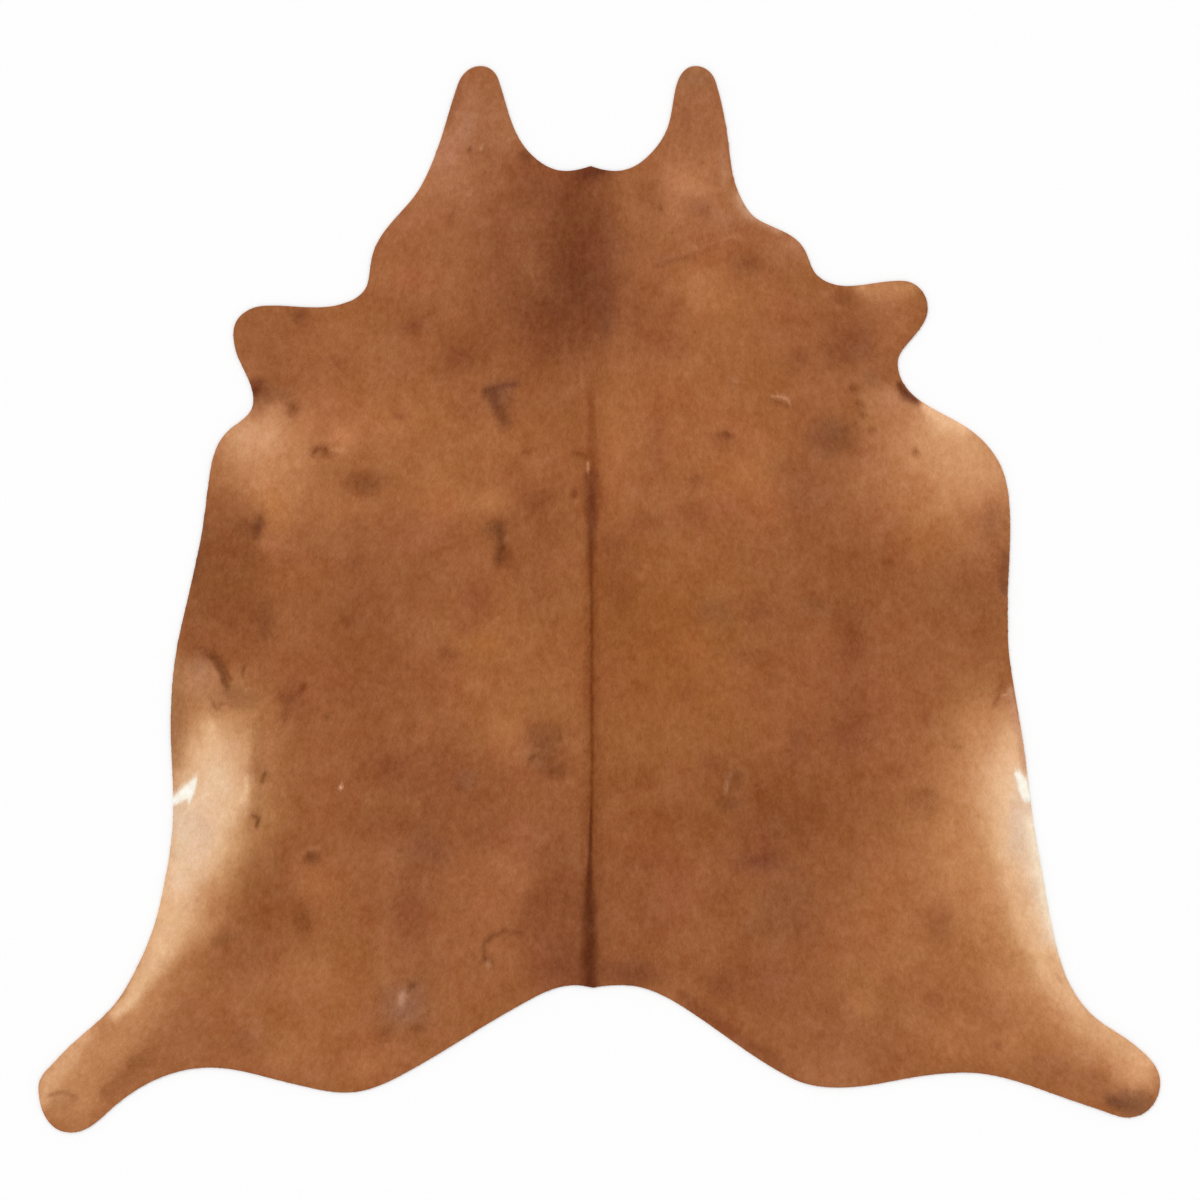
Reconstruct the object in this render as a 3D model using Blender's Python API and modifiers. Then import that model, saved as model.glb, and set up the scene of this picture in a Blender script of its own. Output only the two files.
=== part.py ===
"""Cowhide rug: one whole hair-on hide, trimmed to its natural outline and laid flat, hair side up.

Metres, +Z up. The backbone runs along Y with the neck at +Y, and +X is on the right as seen from above.
The origin is the middle of the hide's box, on the floor.
"""

import math
from collections import namedtuple

import bpy
from mathutils import Vector

# Driving dimensions, in metres.
LEATHER_THICKNESS = 0.0022
COAT_THICKNESS = 0.0028
RIM_RADIUS = 0.0018

# How finely the edge and its rounded rim are cut into straight pieces.
STEPS_BETWEEN_KNOTS = 6
RIM_SEGMENTS = 2
WELD_DISTANCE = 0.00005

NODE = "hide"
COAT_COLOUR = (0.34, 0.125, 0.042)
COAT_ROUGHNESS = 0.62
COAT_SHEEN = 0.25

# One place on the trimmed edge: metres across from the backbone, metres along from the root of the tail
# towards the neck, the way the edge runs there in degrees from +X, and how many degrees it turns in the
# place itself, which is 0 where it runs smoothly. The edge goes anticlockwise as seen from above.
Knot = namedtuple("Knot", "place across along heading corner", defaults=[0])

LEFT_CHEEK = [
    Knot("neck point", -0.005, 1.645, 180, 40),
    Knot("neck bay floor", -0.055, 1.635, 180),
    Knot("neck bay wall", -0.130, 1.675, 132),
    Knot("inner side of the lobe", -0.170, 1.755, 107),
    Knot("inner shoulder of the tip", -0.190, 1.820, 110),
    Knot("tip", -0.225, 1.845, 180),
    Knot("outer shoulder of the tip", -0.270, 1.810, 250),
    Knot("outer side of the lobe", -0.315, 1.670, 249),
    Knot("jaw", -0.365, 1.575, 230),
    Knot("throat", -0.435, 1.485, 245),
]
LEFT_FORE_SHANK = [
    Knot("front of the shoulder", -0.450, 1.415, 260),
    Knot("hollow above the shank", -0.485, 1.375, 204),
    Knot("upper side of the shank", -0.660, 1.365, 184),
    Knot("end of the shank", -0.720, 1.310, 270),
    Knot("lower side of the shank", -0.710, 1.260, 293),
    Knot("armpit", -0.680, 1.175, 270),
]
LEFT_FLANK = [
    Knot("behind the elbow", -0.730, 1.115, 222),
    Knot("girth", -0.765, 1.040, 260),
    Knot("ribs", -0.785, 0.900, 259),
    Knot("belly", -0.825, 0.720, 257),
    Knot("widest belly", -0.845, 0.525, 270),
    Knot("flank fold", -0.840, 0.360, 270),
    Knot("thigh", -0.865, 0.175, 258),
]
LEFT_HIND_SHANK = [
    Knot("knee", -0.935, 0.000, 240),
    Knot("outer side of the shank", -1.000, -0.075, 220),
    Knot("outer corner of the end", -1.075, -0.145, 228),
    Knot("end of the shank", -1.110, -0.200, 270),
    Knot("lowest point", -1.045, -0.290, 0),
    Knot("inner corner of the end", -0.955, -0.235, 40),
    Knot("inner side of the shank", -0.775, -0.160, 2),
    Knot("back of the thigh", -0.610, -0.190, -13),
    Knot("lobe of the rump", -0.495, -0.210, 0),
]
TAIL = [
    Knot("left side of the rump", -0.365, -0.165, 29),
    Knot("left buttock", -0.155, -0.040, 29),
    Knot("left of the tail", -0.035, 0.005, 0),
    Knot("root of the tail", 0.000, 0.000, 0, 22),
    Knot("right of the tail", 0.060, 0.005, 0),
    Knot("right buttock", 0.190, -0.045, -33),
    Knot("right side of the rump", 0.395, -0.180, -27),
]
RIGHT_HIND_SHANK = [
    Knot("lobe of the rump", 0.490, -0.200, 0),
    Knot("back of the thigh", 0.610, -0.185, 11),
    Knot("inner side of the shank", 0.745, -0.170, 0),
    Knot("inner bend of the shank", 0.900, -0.205, -20),
    Knot("inner corner of the end", 1.030, -0.250, -19),
    Knot("lowest point", 1.075, -0.260, 5),
    Knot("end of the shank", 1.135, -0.190, 90),
    Knot("outer corner of the end", 1.085, -0.115, 140),
    Knot("outer side of the shank", 0.995, -0.050, 135),
]
RIGHT_FLANK = [
    Knot("knee", 0.935, 0.055, 107),
    Knot("thigh", 0.890, 0.275, 101),
    Knot("flank fold", 0.865, 0.460, 97),
    Knot("belly", 0.835, 0.650, 98),
    Knot("ribs", 0.830, 0.775, 90),
    Knot("widest ribs", 0.835, 0.915, 90),
    Knot("girth", 0.825, 1.020, 105),
    Knot("behind the elbow", 0.750, 1.120, 146),
]
RIGHT_FORE_SHANK = [
    Knot("below the armpit", 0.655, 1.175, 145),
    Knot("armpit", 0.610, 1.250, 90),
    Knot("lower side of the shank", 0.635, 1.295, 50),
    Knot("end of the shank", 0.670, 1.360, 90),
    Knot("upper side of the shank", 0.620, 1.415, 178),
    Knot("hollow above the shank", 0.520, 1.405, 184),
    Knot("front of the shoulder", 0.450, 1.425, 138),
]
RIGHT_CHEEK = [
    Knot("throat", 0.425, 1.475, 117),
    Knot("jaw", 0.335, 1.535, 152),
    Knot("hollow of the neck", 0.290, 1.595, 113),
    Knot("outer side of the lobe", 0.270, 1.700, 98),
    Knot("outer shoulder of the tip", 0.245, 1.815, 108),
    Knot("tip", 0.205, 1.845, 180),
    Knot("inner shoulder of the tip", 0.165, 1.800, 257),
    Knot("inner side of the lobe", 0.150, 1.725, 252),
    Knot("neck bay wall", 0.105, 1.660, 222),
    Knot("neck bay floor", 0.045, 1.635, 180),
]
EDGE = (
    LEFT_CHEEK
    + LEFT_FORE_SHANK
    + LEFT_FLANK
    + LEFT_HIND_SHANK
    + TAIL
    + RIGHT_HIND_SHANK
    + RIGHT_FLANK
    + RIGHT_FORE_SHANK
    + RIGHT_CHEEK
)


def clear_scene():
    for obj in list(bpy.data.objects):
        bpy.data.objects.remove(obj)


def box_centre(knots):
    """The middle of the edge's box. Its four extremes are knots at which the edge runs along the box."""
    across = [knot.across for knot in knots]
    along = [knot.along for knot in knots]
    return Vector(((min(across) + max(across)) / 2, (min(along) + max(along)) / 2))


def direction(degrees):
    return Vector((math.cos(math.radians(degrees)), math.sin(math.radians(degrees))))


def handle(here, there, way):
    """The handle that leaves here in this direction, as long as makes an even turn a round arc."""
    chord = there - here
    lean = way.angle(chord)
    return here + way * chord.length / (3 * math.cos(lean / 2) ** 2)


def edge_curve():
    """The trimmed edge as a closed, filled curve, with a knot for each row of the tables."""
    curve = bpy.data.curves.new(NODE, "CURVE")
    curve.dimensions = "2D"
    curve.fill_mode = "BOTH"
    curve.resolution_u = STEPS_BETWEEN_KNOTS
    curve.extrude = (LEATHER_THICKNESS + COAT_THICKNESS) / 2
    spline = curve.splines.new("BEZIER")
    spline.bezier_points.add(len(EDGE) - 1)
    spline.use_cyclic_u = True
    centre = box_centre(EDGE)
    places = [Vector((knot.across, knot.along)) - centre for knot in EDGE]
    for index, (knot, point) in enumerate(zip(EDGE, spline.bezier_points)):
        before, here, after = places[index - 1], places[index], places[(index + 1) % len(EDGE)]
        backwards = -direction(knot.heading - knot.corner / 2)
        onwards = direction(knot.heading + knot.corner / 2)
        point.handle_left_type = "FREE"
        point.handle_right_type = "FREE"
        point.co = here.to_3d()
        point.handle_left = handle(here, before, backwards).to_3d()
        point.handle_right = handle(here, after, onwards).to_3d()
    return curve


def coat_material():
    material = bpy.data.materials.new("brown_coat")
    material.use_nodes = True
    shader = material.node_tree.nodes["Principled BSDF"]
    shader.inputs["Base Color"].default_value = (*COAT_COLOUR, 1.0)
    shader.inputs["Roughness"].default_value = COAT_ROUGHNESS
    shader.inputs["Sheen Weight"].default_value = COAT_SHEEN
    material.diffuse_color = (*COAT_COLOUR, 1.0)
    return material


def make_hide(collection):
    """Leather and coat as one sheet, flat on the floor, with a soft rounded rim."""
    hide = bpy.data.objects.new(NODE, edge_curve())
    hide.location.z = (LEATHER_THICKNESS + COAT_THICKNESS) / 2
    hide.data.materials.append(coat_material())
    weld = hide.modifiers.new("weld_faces_to_edge", "WELD")
    weld.merge_threshold = WELD_DISTANCE
    rim = hide.modifiers.new("rounded_rim", "BEVEL")
    rim.width = RIM_RADIUS
    rim.segments = RIM_SEGMENTS
    collection.objects.link(hide)


def main():
    clear_scene()
    collection = bpy.data.collections.new("cowhide_rug")
    bpy.context.scene.collection.children.link(collection)
    make_hide(collection)


main()
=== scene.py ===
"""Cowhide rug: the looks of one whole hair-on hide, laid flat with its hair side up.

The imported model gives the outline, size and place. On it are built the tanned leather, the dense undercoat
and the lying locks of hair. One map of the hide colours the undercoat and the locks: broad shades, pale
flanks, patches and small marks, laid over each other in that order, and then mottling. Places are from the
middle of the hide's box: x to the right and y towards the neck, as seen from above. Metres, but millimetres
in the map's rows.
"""

import math
from collections import namedtuple

import bpy
import numpy as np
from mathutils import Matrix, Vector
from mathutils.geometry import delaunay_2d_cdt
from mathutils.kdtree import KDTree


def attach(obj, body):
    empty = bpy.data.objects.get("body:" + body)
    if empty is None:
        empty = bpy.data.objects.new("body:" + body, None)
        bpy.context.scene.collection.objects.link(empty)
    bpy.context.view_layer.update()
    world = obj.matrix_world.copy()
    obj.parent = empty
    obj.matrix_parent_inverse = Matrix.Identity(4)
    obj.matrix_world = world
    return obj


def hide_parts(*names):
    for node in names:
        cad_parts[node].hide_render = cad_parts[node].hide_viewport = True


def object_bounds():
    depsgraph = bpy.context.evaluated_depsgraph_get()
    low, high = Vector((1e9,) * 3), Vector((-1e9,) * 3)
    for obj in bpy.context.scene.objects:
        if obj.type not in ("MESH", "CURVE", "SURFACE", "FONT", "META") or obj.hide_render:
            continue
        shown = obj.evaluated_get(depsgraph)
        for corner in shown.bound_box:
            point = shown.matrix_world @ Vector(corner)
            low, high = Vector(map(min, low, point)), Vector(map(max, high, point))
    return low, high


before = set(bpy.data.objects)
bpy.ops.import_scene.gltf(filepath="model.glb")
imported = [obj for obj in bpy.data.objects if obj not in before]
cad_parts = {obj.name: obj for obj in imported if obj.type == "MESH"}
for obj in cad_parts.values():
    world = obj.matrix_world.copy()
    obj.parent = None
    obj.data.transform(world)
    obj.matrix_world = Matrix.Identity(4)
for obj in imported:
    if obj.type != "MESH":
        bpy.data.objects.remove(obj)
CAD_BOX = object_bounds()

# What every random draw starts from. Each adds a number of its own.
SEED = 20

# Shades that come up more than once, as sRGB bytes. Caramel lies under all others.
CARAMEL = (157, 98, 59)
TAN = (184, 120, 80)
OCHRE = (178, 114, 64)
RUSSET = (140, 80, 48)
CHESTNUT = (128, 72, 42)
UMBER = (112, 64, 38)
WHITE = (252, 246, 232)

# A soft oval of one shade: its middle, its half width and half length at half strength, its shade, its
# strength, how far it is turned anticlockwise in degrees, and how crisp its edge is, from 1.
Oval = namedtuple("Oval", "x y half_x half_y shade strength turn edge", defaults=[0, 1])

# A drawn band or line: the places that it runs through, each with its half width there, and then as an oval.
Stroke = namedtuple("Stroke", "route shade strength edge", defaults=[1])

# The four tables' rows are ovals and strokes in millimetres. A row that starts with a list is a stroke.
BROAD_SHADES = [
    # the neck and its lobes
    (-250, 990, 80, 150, (166, 108, 72), 0.95, 10),
    (200, 990, 80, 150, (164, 106, 70), 0.95, -5),
    (-330, 820, 70, 80, (175, 115, 79), 0.8, -20),
    (190, 810, 80, 70, (172, 110, 71), 0.8),
    (-110, 680, 120, 220, (139, 82, 50), 0.95, 0, 1.3),
    (-43, 700, 52, 190, (122, 68, 41), 0.95, 0, 1.4),
    (-200, 500, 160, 40, (142, 84, 48), 0.8, -35),
    (240, 620, 90, 100, (169, 105, 64), 0.7),
    # fore shanks, shoulders and withers
    (-660, 480, 90, 100, (151, 93, 56), 0.9),
    (-530, 510, 70, 70, (164, 102, 62), 0.7),
    (585, 580, 50, 60, (168, 106, 68), 0.8),
    (500, 540, 50, 80, (146, 88, 52), 0.8),
    (-340, 320, 200, 100, (167, 105, 62), 0.8),
    (160, 380, 160, 120, (164, 100, 59), 0.8),
    # ribs, back, belly and loin, from the left to the right
    (-460, 0, 100, 140, (147, 90, 54), 0.8),
    (-740, 55, 75, 145, (139, 83, 48), 0.9, 5, 1.8),
    (-190, -140, 110, 120, (164, 103, 60), 0.8),
    (-460, -180, 120, 80, (145, 86, 50), 0.8),
    (-330, -380, 140, 90, (141, 84, 50), 0.8),
    (10, 20, 35, 280, (143, 83, 45), 0.8),
    (150, -100, 140, 160, (154, 93, 49), 0.8),
    (500, -160, 90, 160, (147, 86, 52), 0.8),
    (360, -440, 150, 90, (136, 80, 46), 0.85),
    (500, 90, 130, 80, (144, 87, 51), 0.6),
    (740, 20, 90, 80, (146, 90, 54), 0.9),
    # rump and thighs
    (-60, -660, 80, 200, (136, 80, 49), 0.9, 0, 1.3),
    (-640, -620, 80, 100, (148, 89, 50), 0.8, -30),
    (-540, -820, 140, 100, (164, 103, 62), 0.8),
    (280, -760, 90, 60, (142, 84, 49), 0.8, -30),
    (480, -860, 100, 80, (152, 94, 60), 0.7),
    (640, -640, 110, 140, (165, 104, 63), 0.8),
]

PALE_FLANKS = [
    # behind the elbows: a halo and the blaze in it, left and right
    (-665, 285, 85, 125, (196, 135, 91), 0.95, 24, 1.5),
    (-690, 335, 60, 50, (211, 156, 114), 0.9, 15, 1.2),
    (700, 270, 150, 130, (197, 136, 92), 0.95, -30, 1.5),
    (710, 300, 90, 55, (214, 158, 113), 0.85, -35, 1.2),
    # left flank: halo, cream and pale core
    ([
        (-800, -180, 45), (-760, -240, 76), (-745, -300, 90), (-755, -360, 90), (-770, -420, 92),
        (-785, -480, 96), (-800, -540, 92), (-825, -600, 80), (-850, -660, 70), (-880, -710, 66),
        (-910, -770, 66), (-950, -830, 64), (-1000, -890, 64), (-1035, -950, 64), (-1070, -1000, 56),
    ], (190, 132, 87), 0.92, 1.4),
    ([
        (-780, -260, 20), (-770, -300, 46), (-770, -320, 66), (-780, -370, 76), (-790, -420, 80),
        (-800, -470, 74), (-832, -520, 53), (-847, -565, 51), (-855, -630, 53), (-870, -680, 38),
        (-896, -730, 28), (-926, -780, 18), (-968, -830, 11),
    ], (229, 183, 139), 0.92, 1.35),
    ([
        (-760, -350, 33), (-780, -400, 46), (-800, -460, 37), (-820, -530, 34), (-835, -570, 29),
    ], (234, 197, 162), 0.7, 1.2),
    # right flank: halo, cream and pale core
    ([
        (810, -240, 40), (775, -320, 92), (755, -400, 110), (760, -480, 116), (785, -560, 113),
        (810, -630, 100), (845, -700, 92), (890, -770, 84), (950, -830, 76), (1010, -880, 64),
        (1070, -935, 52),
    ], (190, 130, 84), 0.92, 1.3),
    ([
        (830, -270, 30), (820, -330, 58), (820, -400, 62), (825, -500, 60), (840, -570, 52), (860, -630, 44),
        (885, -690, 40), (912, -750, 39), (950, -800, 33), (995, -845, 32), (1050, -885, 23),
        (1090, -920, 16),
    ], (231, 183, 139), 0.92, 1.2),
    ([
        (840, -370, 24), (855, -440, 34), (870, -520, 32), (888, -600, 28), (905, -670, 22),
    ], (234, 200, 169), 0.85, 1.2),
]

# Patches of a hand's breadth or less.
PATCHES = [
    # left lobe, jaw and side of the neck
    (-262, 945, 10, 22, (174, 134, 112), 0.35, -10),
    (-350, 830, 22, 16, TAN, 0.6, 45),
    (-230, 1000, 14, 24, RUSSET, 0.35),
    (-303, 895, 20, 45, (184, 124, 94), 0.85, -28),
    (-225, 885, 45, 14, RUSSET, 0.5, -10),
    (-190, 930, 26, 30, (174, 118, 80), 0.6),
    (-120, 855, 25, 20, CHESTNUT, 0.3),
    (-380, 640, 45, 22, (168, 98, 62), 0.6),
    (-440, 660, 34, 36, (170, 110, 70), 0.5),
    (-370, 550, 28, 14, CHESTNUT, 0.7, 10),
    (-290, 570, 22, 16, TAN, 0.35),
    (-300, 760, 12, 14, RUSSET, 0.6),
    (-190, 710, 14, 36, RUSSET, 0.6),
    (-150, 820, 30, 30, CHESTNUT, 0.3),
    (-275, 475, 35, 28, CHESTNUT, 0.7),
    (-260, 385, 35, 30, RUSSET, 0.4),
    # nape and crest
    (-10, 630, 45, 24, UMBER, 0.75),
    (-32, 660, 52, 56, (112, 60, 34), 0.35),
    (6, 710, 20, 90, (130, 74, 48), 0.5),
    (-44, 650, 40, 46, (100, 50, 29), 0.25),
    (-104, 575, 58, 36, (112, 60, 36), 0.6),
    (-86, 510, 50, 30, (118, 64, 38), 0.5),
    (-124, 825, 32, 20, (128, 74, 44), 0.5),
    (-40, 790, 16, 20, (130, 76, 46), 0.35),
    (-200, 670, 28, 100, (136, 80, 48), 0.35),
    (-6, 852, 30, 14, (88, 44, 30), 0.7),
    (30, 710, 30, 30, (146, 90, 60), 0.5),
    (10, 560, 22, 40, (112, 64, 44), 0.55),
    (80, 560, 35, 60, RUSSET, 0.75),
    # right lobe, jaw and side of the neck
    (140, 510, 30, 20, RUSSET, 0.5),
    (100, 800, 22, 26, RUSSET, 0.6),
    (190, 1045, 30, 20, (150, 104, 74), 0.5),
    (170, 950, 15, 20, RUSSET, 0.35),
    (175, 845, 30, 30, TAN, 0.75),
    (247, 860, 8, 35, (200, 154, 126), 0.35, 8),
    (380, 700, 34, 34, (176, 118, 84), 0.6),
    (260, 755, 36, 24, (176, 120, 90), 0.5),
    (140, 570, 20, 30, RUSSET, 0.5),
    (200, 780, 20, 20, (146, 92, 64), 0.5),
    (200, 630, 35, 35, TAN, 0.8),
    (250, 580, 40, 40, OCHRE, 0.2),
    (300, 670, 30, 20, (136, 86, 54), 0.6),
    (370, 600, 30, 30, (168, 100, 64), 0.3),
    # right elbow and fore shank
    (480, 510, 35, 35, CHESTNUT, 0.75),
    (395, 485, 20, 20, CHESTNUT, 0.55),
    (490, 605, 16, 16, CHESTNUT, 0.6),
    (530, 500, 25, 30, (136, 84, 58), 0.5),
    (545, 440, 16, 12, (128, 78, 52), 0.5),
    # left elbow, armpit and shoulder
    (-600, 570, 14, 12, UMBER, 0.6),
    (-520, 480, 14, 14, RUSSET, 0.5),
    (-530, 400, 50, 18, (174, 110, 70), 0.6),
    (-686, 418, 17, 18, (94, 46, 26), 0.9, 0, 1.3),
    (-654, 410, 32, 20, (134, 82, 50), 0.7),
    (-515, 325, 28, 22, (200, 134, 90), 0.8),
    (-450, 365, 80, 30, (180, 114, 70), 0.55),
    (-590, 345, 36, 30, (194, 128, 82), 0.45),
    (-760, 235, 34, 30, (184, 126, 84), 0.45),
    # right shoulder, withers and ribs
    (458, 326, 38, 29, (116, 72, 46), 0.64, -15),
    (530, 290, 34, 15, (146, 88, 54), 0.3),
    (36, 280, 32, 105, (178, 112, 70), 0.7),
    (115, 320, 18, 50, RUSSET, 0.45),
    (300, 320, 66, 36, (178, 110, 68), 0.5),
    (320, 190, 60, 45, (176, 108, 70), 0.6),
    (190, 170, 20, 15, RUSSET, 0.6),
    (280, 250, 50, 30, OCHRE, 0.6),
    (410, 220, 40, 60, (146, 90, 60), 0.6),
    (660, 110, 50, 40, (178, 108, 58), 0.3),
    (590, 400, 34, 26, (196, 138, 100), 0.65),
    (630, 220, 34, 40, (170, 107, 62), 0.5),
    # right girth, back and side
    (785, 150, 22, 34, (142, 88, 56), 0.6),
    (770, -80, 15, 20, RUSSET, 0.3),
    (30, 115, 22, 20, CHESTNUT, 0.5),
    (90, 150, 30, 15, RUSSET, 0.6),
    (230, -30, 25, 18, (116, 72, 48), 0.4),
    (290, -110, 20, 14, CHESTNUT, 0.5),
    (320, -30, 40, 25, CHESTNUT, 0.55),
    (190, -90, 22, 22, OCHRE, 0.55),
    (45, 30, 30, 70, (134, 76, 40), 0.6),
    (240, -60, 40, 36, (140, 84, 46), 0.45),
    (180, -180, 20, 18, RUSSET, 0.5),
    (55, -170, 36, 50, (140, 80, 42), 0.4),
    # right belly and flank
    (445, -12, 40, 18, (130, 80, 50), 0.45),
    (510, -80, 25, 70, CHESTNUT, 0.55),
    (440, -120, 30, 60, (158, 102, 64), 0.3),
    (400, -290, 16, 35, CHESTNUT, 0.6),
    (500, -260, 40, 50, CHESTNUT, 0.55),
    (350, -135, 34, 56, (140, 82, 46), 0.5),
    (757, -250, 30, 60, (200, 140, 95), 0.45),
    (650, -240, 16, 30, RUSSET, 0.5),
    (815, -245, 20, 20, (206, 152, 108), 0.7),
    (800, -385, 34, 38, (240, 197, 155), 0.45),
    # right loin and croup
    (75, -370, 45, 45, (136, 77, 38), 0.55),
    (225, -330, 20, 18, CHESTNUT, 0.6),
    (265, -410, 16, 10, UMBER, 0.6),
    (325, -530, 40, 20, (116, 64, 44), 0.7),
    (350, -470, 30, 25, (146, 92, 64), 0.5),
    (100, -520, 50, 30, RUSSET, 0.5),
    # right rump, thigh and hind shank
    (240, -775, 24, 20, (118, 66, 42), 0.35),
    (310, -660, 20, 16, (122, 70, 42), 0.4),
    (380, -625, 56, 70, (130, 78, 50), 0.6),
    (65, -750, 52, 24, (112, 62, 42), 0.6),
    (-75, -730, 40, 36, (116, 62, 40), 0.42),
    (95, -630, 45, 70, (134, 76, 44), 0.6),
    (170, -600, 40, 60, (152, 88, 58), 0.5),
    (200, -700, 30, 40, (160, 98, 62), 0.4),
    (350, -760, 30, 35, (162, 102, 74), 0.5),
    (530, -800, 30, 50, (180, 120, 76), 0.7),
    (705, -870, 50, 45, (184, 120, 76), 0.55),
    (1010, -880, 75, 40, (212, 156, 112), 0.8, -32),
    (1090, -930, 46, 48, (214, 158, 114), 0.8),
    (840, -885, 60, 34, (184, 120, 76), 0.6),
    (750, -550, 40, 80, (182, 118, 70), 0.4, 10),
    (460, -930, 60, 50, (172, 114, 76), 0.55),
    (240, -600, 40, 40, (134, 76, 42), 0.55),
    (120, -440, 80, 36, (138, 78, 40), 0.45),
    (490, -560, 36, 34, (142, 84, 48), 0.5),
    (530, -670, 40, 36, (172, 110, 70), 0.45),
    (740, -710, 40, 36, (162, 100, 58), 0.5),
    (570, -580, 30, 50, (172, 106, 66), 0.45),
    (680, -650, 22, 30, (142, 88, 52), 0.6),
    # left withers and shoulder
    (-320, 200, 50, 40, (176, 108, 64), 0.6),
    (-126, 196, 30, 22, (126, 70, 38), 0.6),
    (-220, 200, 30, 20, OCHRE, 0.5),
    (-360, 130, 60, 30, (162, 96, 66), 0.5),
    (-520, 180, 60, 30, (172, 108, 64), 0.6),
    (-290, 930, 24, 40, (176, 120, 86), 0.5),
    # left girth and ribs
    (-660, 110, 20, 20, (176, 112, 76), 0.7),
    (-825, -20, 30, 80, (130, 78, 46), 0.5, 5),
    (-494, 74, 14, 8, (132, 80, 48), 0.5),
    (-502, -44, 12, 12, (132, 76, 42), 0.45),
    (-600, 50, 60, 30, (162, 100, 58), 0.5),
    (-500, -40, 20, 20, CHESTNUT, 0.25),
    (-670, -50, 15, 30, UMBER, 0.5),
    # left side and back
    (-240, 0, 30, 30, RUSSET, 0.6),
    (-180, 80, 22, 22, CHESTNUT, 0.5),
    (-260, -55, 20, 14, RUSSET, 0.5),
    (-300, -112, 18, 12, CHESTNUT, 0.7),
    (-230, -90, 25, 20, OCHRE, 0.6),
    (-120, 20, 40, 50, (142, 83, 47), 0.6),
    (-120, 155, 40, 36, (134, 78, 42), 0.5),
    (-345, -250, 15, 20, (168, 106, 66), 0.5),
    (-260, -170, 34, 36, (172, 108, 66), 0.45),
    # left belly, loin, croup and rump
    (-190, -270, 40, 44, (176, 112, 68), 0.65),
    (-110, -305, 30, 30, (120, 72, 46), 0.5),
    (-100, -345, 20, 14, CHESTNUT, 0.5),
    (-420, -330, 40, 30, CHESTNUT, 0.5),
    (-265, -365, 15, 15, (156, 108, 84), 0.25),
    (-340, -500, 40, 40, (124, 74, 52), 0.5),
    (-385, -620, 44, 80, (124, 68, 42), 0.5),
    (-222, -470, 30, 40, CHESTNUT, 0.45),
    (-455, -455, 36, 34, CHESTNUT, 0.3),
    (-160, -480, 30, 40, (152, 88, 58), 0.5),
    (-200, -585, 52, 72, (170, 106, 68), 0.5),
    (-340, -745, 34, 50, (136, 80, 46), 0.4),
    (-120, -620, 30, 50, CHESTNUT, 0.55),
    # left flank, thigh and hind shank
    (-610, -200, 20, 30, CHESTNUT, 0.6),
    (-800, -140, 18, 15, (172, 126, 100), 0.6),
    (-650, -560, 50, 65, (132, 78, 42), 0.62, -20),
    (-820, -760, 36, 22, (180, 122, 80), 0.5),
    (-600, -560, 25, 35, (176, 112, 72), 0.6),
    (-570, -750, 50, 30, (172, 114, 72), 0.6),
    (-550, -570, 34, 30, (172, 108, 68), 0.75),
    (-700, -700, 40, 50, (138, 84, 52), 0.4),
    (-700, -880, 30, 20, (132, 80, 50), 0.4),
    (-440, -890, 40, 30, (168, 106, 66), 0.75),
    (-840, -885, 50, 40, (164, 108, 70), 0.5),
    (-475, -940, 40, 30, (180, 118, 76), 0.75),
    (-600, -900, 50, 30, (170, 108, 66), 0.5),
    # darker and paler rims
    ([(275, 810, 8), (295, 775, 10), (360, 742, 8)], (208, 160, 130), 0.7),
    ([(530, 622, 14), (570, 620, 22), (620, 624, 16)], (202, 144, 98), 0.7),
    ([(490, 335, 12), (515, 360, 12), (525, 390, 8), (516, 420, 8)], (134, 80, 48), 0.2),
    ([(650, 385, 10), (685, 360, 22), (720, 345, 16)], (240, 190, 146), 0.85),
    ([(170, -800, 12), (200, -825, 14), (280, -880, 14), (360, -925, 10)], (122, 68, 42), 0.5),
    ([(775, -500, 12), (800, -620, 15), (850, -740, 12)], (176, 116, 68), 0.25),
    ([(-276, 1030, 10), (-296, 980, 12), (-302, 950, 8)], (146, 90, 58), 0.6),
    ([(-795, 220, 8), (-800, 140, 14), (-815, 50, 16)], (118, 72, 46), 0.6),
    ([(-1020, -865, 16), (-1055, -900, 24), (-1095, -940, 30), (-1115, -1000, 17)], (222, 170, 126), 0.8),
]

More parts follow.
